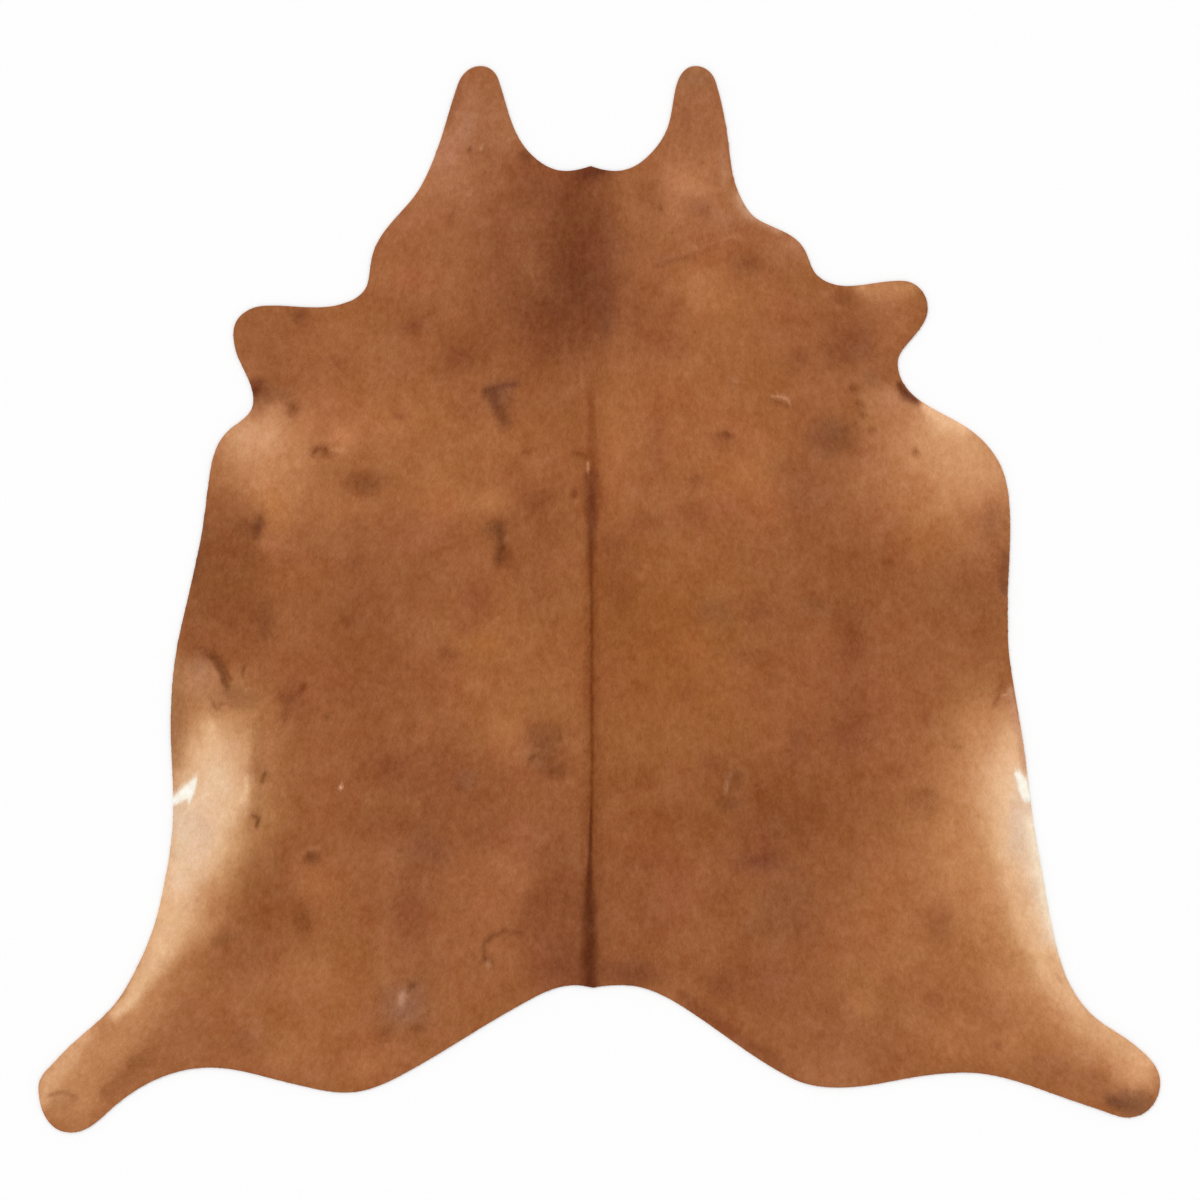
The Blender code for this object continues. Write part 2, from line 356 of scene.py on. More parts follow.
# Spots, scars, creases and whorls, which the fine locks cover.
MARKS = [
    # line of the back, from the withers to the croup
    ([(-15, 410, 7), (-15, 260, 8)], (138, 76, 40), 0.6, 1.3),
    ([(-34, 470, 3), (-34, 424, 3)], (182, 124, 86), 0.5),
    ([(-54, 296, 4), (-18, 282, 7)], (136, 78, 40), 0.7),
    (-50, 214, 6, 7, (122, 62, 32), 0.7),
    (4, 204, 4, 10, (132, 70, 38), 0.6),
    ([(-16, 248, 13), (-16, 160, 10), (-16, 80, 8)], (116, 62, 38), 0.7, 1.3),
    ([(-16, 230, 4), (-16, 100, 5)], (100, 54, 32), 0.3),
    ([(-23, 274, 2.2), (-22, 258, 2.6)], (206, 150, 110), 0.8),
    ([(-15, 120, 9), (-15, -100, 12), (-15, -560, 18)], (132, 73, 37), 0.5),
    ([(-16, 120, 3.2), (-15, -100, 2.8), (-15, -450, 3.2)], (104, 52, 22), 0.62),
    ([
        (-16, -420, 2), (-18, -520, 4), (-20, -570, 8), (-20, -620, 12), (-19, -780, 15),
    ], (96, 48, 26), 0.92, 1.2),
    # scars left of the withers
    ([(-224, 416, 8), (-200, 424, 6), (-164, 432, 5)], (108, 62, 42), 0.75),
    ([(-214, 412, 10), (-206, 392, 8), (-198, 372, 9), (-190, 354, 12)], (110, 62, 36), 0.75),
    (-198, 404, 20, 22, (122, 76, 54), 0.5),
    ([(-202, 416, 3), (-196, 402, 3)], (150, 106, 82), 0.45),
    (-208, 142, 20, 14, (130, 80, 50), 0.6),
    ([(-200, 144, 10), (-198, 110, 8), (-200, 80, 8)], (112, 66, 40), 0.7),
    (-146, 296, 10, 4, (132, 70, 36), 0.6, 8),
    # left shoulder, armpit and girth
    (-466, 236, 30, 18, (126, 72, 40), 0.7),
    (-558, 296, 22, 10, (140, 86, 52), 0.4),
    ([(-572, 292, 3), (-562, 302, 4), (-548, 300, 4), (-544, 290, 3)], (118, 66, 38), 0.65),
    (-518, 298, 12, 5, (212, 152, 110), 0.7, -5),
    (-400, 368, 14, 7, RUSSET, 0.5),
    (-616, 384, 12, 12, (126, 74, 42), 0.6),
    (-710, 148, 20, 16, (126, 74, 44), 0.35),
    (-655, 175, 24, 36, (198, 132, 80), 0.75),
    (-686, 146, 12, 17, (108, 62, 38), 0.75, 0, 1.3),
    # left side of the neck
    (-258, 900, 5, 5, (110, 62, 36), 0.6),
    (-236, 902, 4, 4, (214, 160, 122), 0.6),
    (-276, 824, 18, 14, (186, 128, 90), 0.4),
    (-268, 836, 5, 4, (208, 150, 110), 0.5),
    (-262, 810, 6, 4, (208, 150, 110), 0.5),
    (-148, 886, 11, 7, (112, 68, 42), 0.7, -30),
    # spot on the right withers
    (254, 328, 11, 6, (112, 62, 34), 0.75, -8),
    (248, 320, 22, 18, RUSSET, 0.35),
    (192, 240, 12, 10, (136, 80, 44), 0.5),
    # scars on the right shoulder
    ([(344, 406, 2), (362, 406, 3), (376, 400, 3), (382, 392, 2)], (206, 154, 118), 0.8),
    ([(346, 398, 3), (374, 390, 3)], (134, 82, 50), 0.5),
    (270, 438, 12, 6, (184, 130, 98), 0.5, -20),
    # right side of the neck
    (316, 676, 12, 10, RUSSET, 0.5),
    (122, 782, 4, 5, (110, 60, 34), 0.7),
    (130, 684, 12, 7, (136, 80, 48), 0.5),
    ([(110, 676, 2), (180, 696, 2), (240, 718, 2), (280, 728, 2)], (192, 132, 94), 0.55),
    ([(110, 668, 2.5), (190, 690, 2.5)], (138, 84, 52), 0.45),
    # right shoulder
    (634, 294, 6, 7, (146, 88, 52), 0.65, 30),
    (612, 228, 7, 6, (204, 148, 106), 0.5),
    (510, 424, 9, 10, (132, 76, 42), 0.6),
    (518, 392, 6, 9, (136, 80, 46), 0.6),
    (526, 370, 6, 6, (134, 78, 44), 0.6),
    (544, 338, 8, 5, (140, 82, 48), 0.6),
    (512, 350, 7, 5, (132, 78, 46), 0.6),
    # right armpit and girth
    (576, 74, 11, 8, (130, 70, 36), 0.65),
    ([(602, 430, 6), (616, 410, 10), (634, 396, 6)], (98, 54, 36), 0.8),
    ([(812, 90, 7), (808, 20, 7)], (118, 72, 50), 0.5),
    # scar on the right loin
    ([(264, -350, 3), (258, -366, 3), (254, -386, 3)], (186, 140, 110), 0.7),
    (272, -358, 14, 16, (130, 80, 50), 0.5),
    (244, -400, 12, 8, (134, 78, 42), 0.5),
    # creases left of the backbone
    (-112, -268, 34, 20, (132, 78, 46), 0.45),
    ([(-142, -320, 3), (-130, -314, 4), (-112, -318, 3)], (104, 60, 34), 0.6),
    (-120, -332, 12, 8, (166, 112, 80), 0.5),
    (-88, -342, 18, 10, (124, 72, 42), 0.6, -20),
    # left loin and the ring on the rump
    (-270, -358, 22, 14, (154, 104, 72), 0.4),
    ([
        (-228, -722, 3), (-230, -690, 4), (-214, -672, 4), (-188, -662, 3), (-154, -666, 3),
    ], UMBER, 0.52),
    ([(-236, -724, 3), (-222, -718, 3), (-212, -730, 3)], UMBER, 0.55),
    (-222, -732, 6, 4, (198, 150, 116), 0.6),
    # pale cores on the left buttock
    (-394, -818, 40, 44, (152, 106, 84), 0.72, -30),
    (-395, -796, 8, 15, (206, 158, 128), 0.65, -15, 1.3),
    (-374, -774, 14, 6, (122, 76, 50), 0.7, 25),
    (-430, -868, 14, 12, (128, 76, 44), 0.55),
    (-364, -858, 12, 10, (128, 76, 44), 0.55),
    # ring mark, white dot and fleck on the left loin
    (-574, -516, 14, 10, (124, 74, 44), 0.8, 0, 1.5),
    ([(-592, -506, 3), (-576, -496, 4), (-556, -498, 4)], (190, 134, 94), 0.55),
    (-516, -376, 4.6, 3, (244, 196, 158), 0.95, 0, 2),
    (-630, -396, 3, 6, (192, 136, 94), 0.5),
    # left flank: rim, white tuft and pale lens
    ([(-846, -120, 10), (-850, -220, 20), (-850, -320, 14)], (172, 122, 82), 0.75),
    (-800, -455, 26, 40, (222, 187, 158), 0.5),
    (-838, -455, 20, 50, (236, 208, 180), 0.65),
    ([(-850, -404, 8), (-834, -392, 12), (-820, -380, 12), (-808, -362, 5)], WHITE, 0.97, 3),
    ([(-818, -385, 7), (-820, -406, 3)], WHITE, 0.85, 2),
    (-722, -374, 10, 18, (224, 176, 132), 0.6, -10),
    ([(-708, -358, 3), (-706, -380, 5), (-714, -400, 7), (-728, -410, 6)], (238, 196, 152), 0.7, 1.3),
    (-756, -372, 6, 8, (240, 206, 170), 0.5, 40),
    # whorl on the left flank, with the nicks round it
    (-792, -170, 28, 34, (184, 132, 96), 0.6),
    (-772, -146, 12, 18, (186, 128, 90), 0.75),
    (-780, -108, 28, 12, (126, 74, 40), 0.5, -20),
    ([
        (-784, -112, 3), (-770, -118, 5), (-756, -138, 7), (-748, -160, 7), (-742, -182, 5),
    ], (106, 62, 34), 0.7),
    ([(-780, -112, 2), (-760, -145, 3), (-752, -172, 3)], (122, 72, 42), 0.6),
    ([(-772, -104, 2), (-750, -130, 3), (-738, -162, 3)], (126, 72, 38), 0.6),
    (-728, -196, 32, 17, (146, 94, 58), 0.65),
    ([(-736, -168, 3), (-720, -164, 3), (-708, -180, 3)], (184, 128, 88), 0.6),
    (-764, -208, 12, 18, (170, 112, 74), 0.6),
    ([(-776, -200, 3), (-766, -222, 3), (-752, -208, 3)], (132, 82, 50), 0.35),
    (-712, -142, 3, 8, (112, 64, 36), 0.65, -15),
    ([(-638, -190, 6), (-624, -206, 7), (-612, -196, 4)], (126, 70, 38), 0.5),
    ([(-598, -186, 5), (-588, -172, 4)], (128, 72, 40), 0.5),
    (-630, -230, 8, 8, (124, 68, 36), 0.55),
    (-544, -234, 4, 4, (114, 62, 34), 0.6),
    # inner edge of the left flank, and the thigh
    (-674, -352, 18, 14, (152, 100, 60), 0.5),
    ([(-670, -350, 3.5), (-674, -364, 4)], (108, 64, 32), 0.8),
    ([(-678, -372, 2.5), (-682, -400, 2.5), (-684, -428, 2.5)], (146, 96, 60), 0.25),
    ([(-678, -240, 12), (-684, -340, 14), (-690, -440, 14)], (164, 108, 66), 0.42, 1.5),
    ([(-694, -432, 3), (-682, -438, 4), (-686, -454, 3)], (108, 64, 34), 0.75),
    (-594, -640, 14, 24, (126, 72, 40), 0.5),
    (-750, -680, 22, 10, (140, 90, 54), 0.6, 20),
    # right flank: crease, rims and white tuft
    ([(806, -172, 3), (802, -190, 4), (790, -210, 4)], (138, 80, 46), 0.6),
    (810, -192, 4, 4, (232, 180, 140), 0.7),
    ([(822, -180, 6), (838, -270, 6), (852, -340, 5)], (204, 152, 118), 0.7),
    (838, -455, 20, 55, (226, 194, 170), 0.6),
    ([
        (864, -440, 12), (880, -540, 14), (900, -620, 14), (925, -710, 8), (945, -760, 4),
    ], (250, 232, 204), 0.75),
    ([(836, -350, 6), (846, -370, 11), (856, -396, 9)], WHITE, 0.95, 3),
    (716, -294, 10, 10, (142, 88, 52), 0.3),
    (645, -405, 28, 26, (142, 88, 50), 0.5),
    # left hind shank
    ([(-1098, -992, 4), (-1070, -984, 4), (-1044, -996, 4)], (152, 98, 62), 0.6),
    (-1070, -1006, 24, 12, (172, 118, 80), 0.4),
    ([(-985, -985, 14), (-950, -955, 16), (-905, -920, 16)], (146, 90, 52), 0.6),
    # right hind shank
    (1062, -1004, 42, 21, (130, 85, 58), 0.8, -8, 1.9),
    (1030, -1006, 18, 12, (106, 63, 40), 0.55, -15, 1.4),
    (990, -960, 36, 12, (156, 100, 66), 0.25, -15),
    (970, -916, 20, 8, (206, 150, 108), 0.5),
    (900, -930, 30, 18, (168, 108, 72), 0.5),
    # right hock and knee
    (792, -892, 11, 8, RUSSET, 0.45),
    (666, -800, 16, 12, RUSSET, 0.45),
    ([(912, -748, 3), (926, -770, 3)], (206, 150, 110), 0.5),
]

# How the colour wanders: the size of its blotches, in metres, and how far it strays, in sRGB bytes.
Mottling = namedtuple("Mottling", "size stray")
MOTTLING = [
    Mottling(size, stray)
    for size, stray in ((0.110, 1.3), (0.055, 1.3), (0.028, 1.5), (0.014, 1.5), (0.008, 1.4))
]
# How the green alone wanders, which makes the coat rosier here and yellower there.
HUES = [Mottling(0.100, 0.5), Mottling(0.045, 0.4), Mottling(0.012, 0.4)]
BENT = 0.35  # how far blotches are bent out of round, in their own sizes
BEND_SIZE = 0.7
STRAY_OF_CHANNELS = (0.95, 1.0, 1.0)
DEEPER_BY = (0.8, 2.1, 1.9)  # than the shades that are laid on the hide

# Smooth noise is read from a square table of random numbers.
NOISE_TABLE = 1024  # numbers to a side
NOISE_START = 300.5  # how far in it starts
NOISE_TURN = 1.7  # radians from one seed to the next
NOISE_SPREAD = 0.78  # its own, by which it is evened

MARK_REACH = 3.5  # half widths from its middle to where a mark has faded out
# How far a mark's edge strays, as a share of its half width up to RAGGED_UP_TO, and over what sizes.
RAGGED = [(0.16, 0.060), (0.10, 0.022), (0.06, 0.008)]
RAGGED_UP_TO = 0.03

# Which way the hair lies, in degrees anticlockwise from +x, and how far around that holds. Along the
# backbone it lies straight back, from the crest of the neck to the croup.
Lie = namedtuple("Lie", "x y heading reach")
BACK_LIES = [
    Lie(-0.01, y, -90, reach)
    for y, reach in ((0.75, 0.12), (0.40, 0.12), (0.05, 0.10), (-0.30, 0.10), (-0.65, 0.12))
]
# On the sides it lies outwards and back. The heading is the left side's, and the right side mirrors it.
Pair = namedtuple("Pair", "places left right heading reach")
SIDE_LIES = [
    Pair("lobes", (-0.25, 0.98), (0.22, 0.98), -98, 0.15),
    Pair("sides of the neck", (-0.38, 0.75), (0.36, 0.75), -108, 0.15),
    Pair("fore shanks", (-0.66, 0.54), (0.60, 0.59), -172, 0.12),
    Pair("shoulders", (-0.42, 0.35), (0.42, 0.35), -118, 0.20),
    Pair("ribs", (-0.45, 0.00), (0.45, 0.00), -114, 0.22),
    Pair("belly", (-0.76, 0.15), (0.78, 0.15), -104, 0.15),
    Pair("flanks", (-0.74, -0.40), (0.80, -0.36), -98, 0.18),
    Pair("thighs", (-0.62, -0.66), (0.66, -0.66), -118, 0.20),
    Pair("hind shanks", (-0.98, -0.90), (0.98, -0.86), -146, 0.18),
    Pair("buttocks", (-0.35, -0.80), (0.38, -0.80), -106, 0.15),
]
# How weakly hair is drawn straight back where none of these holds.
DRAWN_BACK = 0.02
# Where the hair turns round a point: the whorl's middle, its reach, and the turn there in degrees.
Whorl = namedtuple("Whorl", "place x y reach turn")
WHORLS = [
    Whorl("left flank", -0.735, -0.19, 0.035, 150),
    Whorl("right flank", 0.815, -0.18, 0.030, -110),
]


def laid(row):
    """A row of the tables as its oval or stroke, in metres."""
    if isinstance(row[0], list):
        return Stroke([[value / 1000 for value in place] for place in row[0]], *row[1:])
    return Oval(*(value / 1000 for value in row[:4]), *row[4:])


SMALL_MARKS = [laid(row) for row in MARKS]
ALL_MARKS = [laid(row) for row in BROAD_SHADES + PALE_FLANKS + PATCHES] + SMALL_MARKS
HAIR_LIES = BACK_LIES + [
    Lie(*place, heading, pair.reach)
    for pair in SIDE_LIES
    for place, heading in ((pair.left, pair.heading), (pair.right, -180 - pair.heading))
]


def smooth_noise(x, y, size, seed):
    """Blotches of about this size, with a spread of about 1, the same on every run."""
    turn = seed * NOISE_TURN
    u = (x * math.cos(turn) + y * math.sin(turn)) / size + NOISE_START
    v = (y * math.cos(turn) - x * math.sin(turn)) / size + NOISE_START
    table = np.random.default_rng(SEED + seed).standard_normal((NOISE_TABLE, NOISE_TABLE)).astype(np.float32)
    column, row = np.floor(u).astype(int), np.floor(v).astype(int)
    u, v = [share * share * share * (share * (6 * share - 15) + 10) for share in (u - column, v - row)]
    column, row = column % NOISE_TABLE, row % NOISE_TABLE
    right, up = (column + 1) % NOISE_TABLE, (row + 1) % NOISE_TABLE
    near = table[row, column] * (1 - u) + table[row, right] * u
    far = table[up, column] * (1 - u) + table[up, right] * u
    return (near * (1 - v) + far * v) / NOISE_SPREAD


def hair_heading(x, y):
    """The way the hair lies at these places, in radians anticlockwise from +x."""
    across = np.zeros(len(x))
    along = np.full(len(x), -DRAWN_BACK)
    for lie in HAIR_LIES:
        weight = np.exp(-((x - lie.x) ** 2 + (y - lie.y) ** 2) / (2 * lie.reach**2))
        across += weight * math.cos(math.radians(lie.heading))
        along += weight * math.sin(math.radians(lie.heading))
    heading = np.arctan2(along, across)
    for whorl in WHORLS:
        near = np.exp(-((x - whorl.x) ** 2 + (y - whorl.y) ** 2) / whorl.reach**2)
        heading += near * math.radians(whorl.turn)
    return heading


def oval_weight(oval, x, y):
    """How strongly an oval marks these places."""
    turn = math.radians(oval.turn)
    east, north = x - oval.x, y - oval.y
    u = (east * math.cos(turn) + north * math.sin(turn)) / oval.half_x
    v = (north * math.cos(turn) - east * math.sin(turn)) / oval.half_y
    return 0.5 ** ((u * u + v * v).clip(0, 16) ** oval.edge)


def stroke_weight(stroke, x, y):
    """How strongly a stroke marks these places. Between two of its places its width changes evenly."""
    best = np.full(len(x), np.inf)
    for start, end in zip(stroke.route, stroke.route[1:]):
        leg_x, leg_y = end[0] - start[0], end[1] - start[1]
        share = ((x - start[0]) * leg_x + (y - start[1]) * leg_y) / (leg_x**2 + leg_y**2)
        share = share.clip(0, 1)
        off = np.hypot(x - start[0] - share * leg_x, y - start[1] - share * leg_y)
        best = np.minimum(best, off / (start[2] + share * (end[2] - start[2])))
    return 0.5 ** (best.clip(0, 4) ** (2 * stroke.edge))


def mark_weight(mark, x, y, ragged):
    """Which places a mark reaches, and how strongly it shows there."""
    if isinstance(mark, Oval):
        weight_of, thinnest = oval_weight, min(mark.half_x, mark.half_y)
        route = np.array([(mark.x, mark.y, max(mark.half_x, mark.half_y))])
    else:
        weight_of, thinnest = stroke_weight, min(place[2] for place in mark.route)
        route = np.array(mark.route)
    span = MARK_REACH * route[:, 2].max()
    low_x, low_y = route[:, :2].min(axis=0) - span
    high_x, high_y = route[:, :2].max(axis=0) + span
    near = np.flatnonzero((x > low_x) & (x < high_x) & (y > low_y) & (y < high_y))
    stray = min(thinnest, RAGGED_UP_TO) * ragged[:, near]
    return near, mark.strength * weight_of(mark, x[near] + stray[0], y[near] + stray[1])


def marked(x, y):
    """How strongly the strongest of the small marks shows at these places."""
    strongest = np.zeros(len(x))
    for mark in SMALL_MARKS:
        near, weight = mark_weight(mark, x, y, np.zeros((2, len(x))))
        strongest[near] = np.maximum(strongest[near], weight)
    return strongest


def hide_colour(x, y):
    """The coat's colour at these places, as sRGB bytes."""
    colour = np.tile(np.array(CARAMEL, float), (len(x), 1))
    ragged = np.zeros((2, len(x)))
    for turn, (share, size) in enumerate(RAGGED):
        for axis in (0, 1):
            ragged[axis] += share * smooth_noise(x, y, size, 40 + 2 * turn + axis)
    for mark in ALL_MARKS:
        near, weight = mark_weight(mark, x, y, ragged)
        colour[near] += weight[:, None] * (np.array(mark.shade, float) - colour[near])
    stray = np.zeros(len(x))
    for turn, mottling in enumerate(MOTTLING):
        bend = BENT * mottling.size
        bent_x = x + bend * smooth_noise(x, y, BEND_SIZE * mottling.size, 50 + turn)
        bent_y = y + bend * smooth_noise(x, y, BEND_SIZE * mottling.size, 60 + turn)
        stray += mottling.stray * smooth_noise(bent_x, bent_y, mottling.size, turn)
    colour += stray[:, None] * np.array(STRAY_OF_CHANNELS)
    for turn, hue in enumerate(HUES):
        colour[:, 1] += hue.stray * smooth_noise(x, y, hue.size, 70 + turn)
    return colour - DEEPER_BY


def linear(shade):
    """sRGB bytes as linear colour."""
    share = np.clip(np.asarray(shade, float) / 255, 0, 1)
    return np.where(share <= 0.04045, share / 12.92, ((share + 0.055) / 1.055) ** 2.4)


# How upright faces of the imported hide, and the corners at their feet, are told.
UPRIGHT = 0.05  # the most that its normal rises
SAME_HEIGHT = 0.00001  # metres

# Sizes of the leather and the undercoat, in metres.
EDGE_STEP = 0.0045
LEATHER_TOP = 0.0021
UNDERCOAT_TOP = 0.0034
LEATHER_GRID = 0.030
UNDERCOAT_GRID = 0.0079
RIM_GRID = 0.010
NEAREST_TO_RIM = 0.6  # of the grid's spacing or of the rim's, whichever is less
JITTER = 0.32  # of a grid's spacing
ROW_STEP = math.sqrt(0.75)  # from row to row of a grid, in its spacing

# Rims, as steps from the underside round the edge to the top: how far inside the outline, and how high.
LEATHER_RIM = [(0.0040, 0.0), (0.0023, 0.0002), (0.0019, 0.0008), (0.0020, 0.0016), (0.0028, LEATHER_TOP)]
UNDERCOAT_RIM = [(0.0050, 0.0019), (0.0010, 0.0020), (0.0004, 0.0025), (0.0009, 0.0031)]
UNDERCOAT_RIM += [(0.0028, UNDERCOAT_TOP), (0.0060, UNDERCOAT_TOP)]

# How the undercoat rises and sinks: how high and over what sizes, and the most that it does.
SWELLS = [(0.00002, 0.03), (0.00008, 0.15)]
HIGHEST_SWELL = 0.0003

# One layer of locks: how far apart their roots are, how long and wide they are, how high ridge and tip
# stand over the undercoat, and how far they stray from the lie of the hair, in degrees.
Layer = namedtuple("Layer", "name spacing length width ridge tip stray")
LAYERS = [
    Layer("under_locks", 0.0061, 0.015, 0.0038, 0.00015, 0.00010, 8),
    Layer("over_locks", 0.0061, 0.017, 0.0036, 0.00030, 0.00020, 10),
]
# Short fine locks, only in and beside the small marks, which they keep crisp.
FINE_LOCKS = Layer("fine_locks", 0.0025, 0.007, 0.0021, 0.00042, 0.00034, 6)
FINE_FROM = 0.16  # the strength of a mark from which fine locks cover it
BACKBONE = -0.0125
ROOT_INSIDE = 0.0012
ROOT_DEPTH = 0.00012
RIDGE_PLACE = 0.3  # of a lock's length
SHORTEST_LOCK = 0.003
OVERHANG = 0.0003
OVERHANG_ROUNDS = 3
STEEPEST = 0.15  # the least that a lock counts as pointing outwards
LENGTH_SPREAD = 0.18
SHADE_SPREAD = 0.8  # sRGB bytes from lock to lock
STRAND_SPREAD = 500  # over which the locks' strands are scattered in their noise
# The least and the most of its layer's width and height that a shorter or longer lock has.
WIDTH_KEEPS = (0.5, 1.2)
HEIGHT_KEEPS = (0.3, 1)
# How heights vary, as shares of the layer's: their spread, the least and the most.
RIDGES_VARY = (0.2, 0.4, 1.6)
TIPS_VARY = (0.3, 0.3, 1.8)

MAP_MARGIN = 0.002  # round the flat map, as a share of it

# What shading leaves of a colour and what gloss adds, in linear light, for red, green and blue. The map's
# shades are seen colours, so the materials' own colours make up for both.
SHADING_LEAVES = (1.020, 1.000, 0.983)
GLOSS_ADDS = (0.0100, 0.0103, 0.0098)
DARKEST = 0.002


def cut_edge():
    """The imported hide's outline as points EDGE_STEP apart on a smooth closed line, anticlockwise."""
    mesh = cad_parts["hide"].data
    links = {}
    for face in mesh.polygons:
        corners = [mesh.vertices[index].co for index in face.vertices]
        lowest = min(corner.z for corner in corners)
        low = [(round(at.x, 6), round(at.y, 6)) for at in corners if at.z < lowest + SAME_HEIGHT]
        if abs(face.normal.z) < UPRIGHT and len(low) == 2:
            for foot, other in (low, low[::-1]):
                links.setdefault(foot, []).append(other)
    here = min(links)
    before, line = None, []
    while here not in line[:1]:
        line.append(here)
        onwards = [place for place in links[here] if place != before]
        before, here = here, onwards[0]
    line = np.array(line)
    ahead = np.roll(line, -1, axis=0)
    if (line[:, 0] * ahead[:, 1] - line[:, 1] * ahead[:, 0]).sum() < 0:
        line = line[::-1]
    return smooth_closed_line(line, EDGE_STEP)


def smooth_closed_line(line, step):
    """Evenly spaced points on the smooth curve through a closed line's points."""
    ahead, behind = np.roll(line, -1, axis=0), np.roll(line, 1, axis=0)
    chord = np.linalg.norm(ahead - line, axis=1)
    slope = (ahead - behind) / (chord + np.roll(chord, 1))[:, None]
    starts = np.concatenate([[0], np.cumsum(chord)])
    count = round(starts[-1] / step)
    run = np.arange(count) * starts[-1] / count
    leg = np.searchsorted(starts, run, side="right") - 1
    t = ((run - starts[leg]) / chord[leg])[:, None]
    leaving, arriving = slope[leg] * chord[leg, None], np.roll(slope, -1, axis=0)[leg] * chord[leg, None]
    return (
        (1 + 2 * t) * (1 - t) ** 2 * line[leg]
        + t * (1 - t) ** 2 * leaving
        + t * t * (3 - 2 * t) * ahead[leg]
        + t * t * (t - 1) * arriving
    )


class Edge:
    """The outline with its outward directions, and how far inside it any place lies."""

    def __init__(self, line):
        self.line = line
        way = np.roll(line, -1, axis=0) - np.roll(line, 1, axis=0)
        way /= np.linalg.norm(way, axis=1)[:, None]
        self.outward = np.stack([way[:, 1], -way[:, 0]], axis=1)
        self.tree = KDTree(len(line))
        for index, (x, y) in enumerate(line):
            self.tree.insert((x, y, 0), index)
        self.tree.balance()

    def inset(self, depth):
        return self.line - depth * self.outward

    def depth(self, places):
        """How far inside the outline each place lies, and which way is out there."""
        nearest = np.array([self.tree.find((x, y, 0))[1] for x, y in places])
        outward = self.outward[nearest]
        return ((self.line[nearest] - places) * outward).sum(axis=1), outward


def scattered(edge, spacing, keep_inside, seed, wanted=None):
    """Places spread evenly but not in rows over the hide, no nearer to its outline than keep_inside."""
    low, high = edge.line.min(axis=0), edge.line.max(axis=0)
    random = np.random.default_rng(SEED + seed)
    columns, rows = np.ceil((high - low) / (spacing * np.array([1, ROW_STEP]))).astype(int) + 1
    column, row = np.meshgrid(np.arange(columns), np.arange(rows))
    grid = np.stack([column + 0.5 * (row % 2), row * ROW_STEP], axis=-1).reshape(-1, 2) * spacing
    places = low + grid + random.uniform(-JITTER, JITTER, grid.shape) * spacing
    if wanted:
        places = places[wanted(*places.T)]
    return places[edge.depth(places)[0] > keep_inside]


def cap(ring, inner):
    """Triangles that fill a ring, through the inner places. The ring's points come first, in their order."""
    points = np.concatenate([ring, inner])
    _, _, faces, came_from, _, _ = delaunay_2d_cdt(
        [Vector(point) for point in points], [], [list(range(len(ring)))], 1, 1e-7
    )
    index = np.array([came[0] for came in came_from])
    return points, index[np.array(faces)]


def placed(name, data):
    """A new object in the scene with this data."""
    thing = bpy.data.objects.new(name, data)
    bpy.context.scene.collection.objects.link(thing)
    return thing


def mesh_of(name, points, triangles):
    mesh = bpy.data.meshes.new(name)
    mesh.from_pydata(points.tolist(), [], triangles.tolist(), shade_flat=False)
    mesh.validate()
    return placed(name, mesh)


def sheet_mesh(name, edge, rim, top_grid, seed, relief=None):
    """A closed sheet: a flat underside, a rounded rim, and a top that follows the relief, if any."""
    points = [np.column_stack([edge.inset(inset), np.full(len(edge.line), height)]) for inset, height in rim]
    triangles = []
    count = len(edge.line)
    around = np.arange(count)
    ahead = (around + 1) % count
    for lower in range(len(rim) - 1):
        a, b = lower * count, (lower + 1) * count
        triangles.append(np.column_stack([a + around, a + ahead, b + ahead]))
        triangles.append(np.column_stack([a + around, b + ahead, b + around]))
    total = len(rim) * count
    for (inset, rim_height), first, grid, upward in (
        (rim[0], 0, LEATHER_GRID, False),
        (rim[-1], total - count, top_grid, True),
    ):
        inner = scattered(edge, grid, inset + NEAREST_TO_RIM * min(grid, RIM_GRID), seed + upward)
        places, faces = cap(edge.inset(inset), inner)
        added = places[count:]
        height = np.full(len(added), rim_height)
        if upward and relief:
            height += relief(*added.T)
        points.append(np.column_stack([added, height]))
        faces = np.where(faces < count, faces + first, faces - count + total)
        total += len(added)
        triangles.append(faces if upward else faces[:, ::-1])
    return mesh_of(name, np.concatenate(points), np.concatenate(triangles))


def paint(piece, shades):
    """Gives each point of a piece its sRGB shade, as the colour attribute that the materials read."""
    colours = np.ones((len(shades), 4), np.float32)
    colours[:, :3] = ((linear(shades) - GLOSS_ADDS) / SHADING_LEAVES).clip(DARKEST, 1)
    layer = piece.data.color_attributes.new("coat_colour", "FLOAT_COLOR", "POINT")
    layer.data.foreach_set("color", colours.ravel())


def places_of(mesh):
    """Where a mesh's points are, as seen from above."""
    places = np.empty(len(mesh.vertices) * 3, np.float32)
    mesh.vertices.foreach_get("co", places)
    return places.reshape(-1, 3)[:, :2]


def lay_flat_map(mesh):
    """A map of the mesh seen from above, for whoever bakes its colours."""
    places = places_of(mesh)
    low, high = places.min(axis=0), places.max(axis=0)
    corners = np.empty(len(mesh.loops), np.int32)
    mesh.loops.foreach_get("vertex_index", corners)
    flat = mesh.uv_layers.new(name="OFBake")
    shares = MAP_MARGIN + (1 - 2 * MAP_MARGIN) * (places - low) / (high - low)
    flat.data.foreach_set("uv", shares[corners].ravel())


def undercoat_relief(x, y):
    """How far the undercoat stands above or below its usual height at these places."""
    relief = np.zeros(len(x))
    for turn, (height, size) in enumerate(SWELLS):
        relief += height * smooth_noise(x, y, size, 60 + turn)
    return relief.clip(-HIGHEST_SWELL, HIGHEST_SWELL)


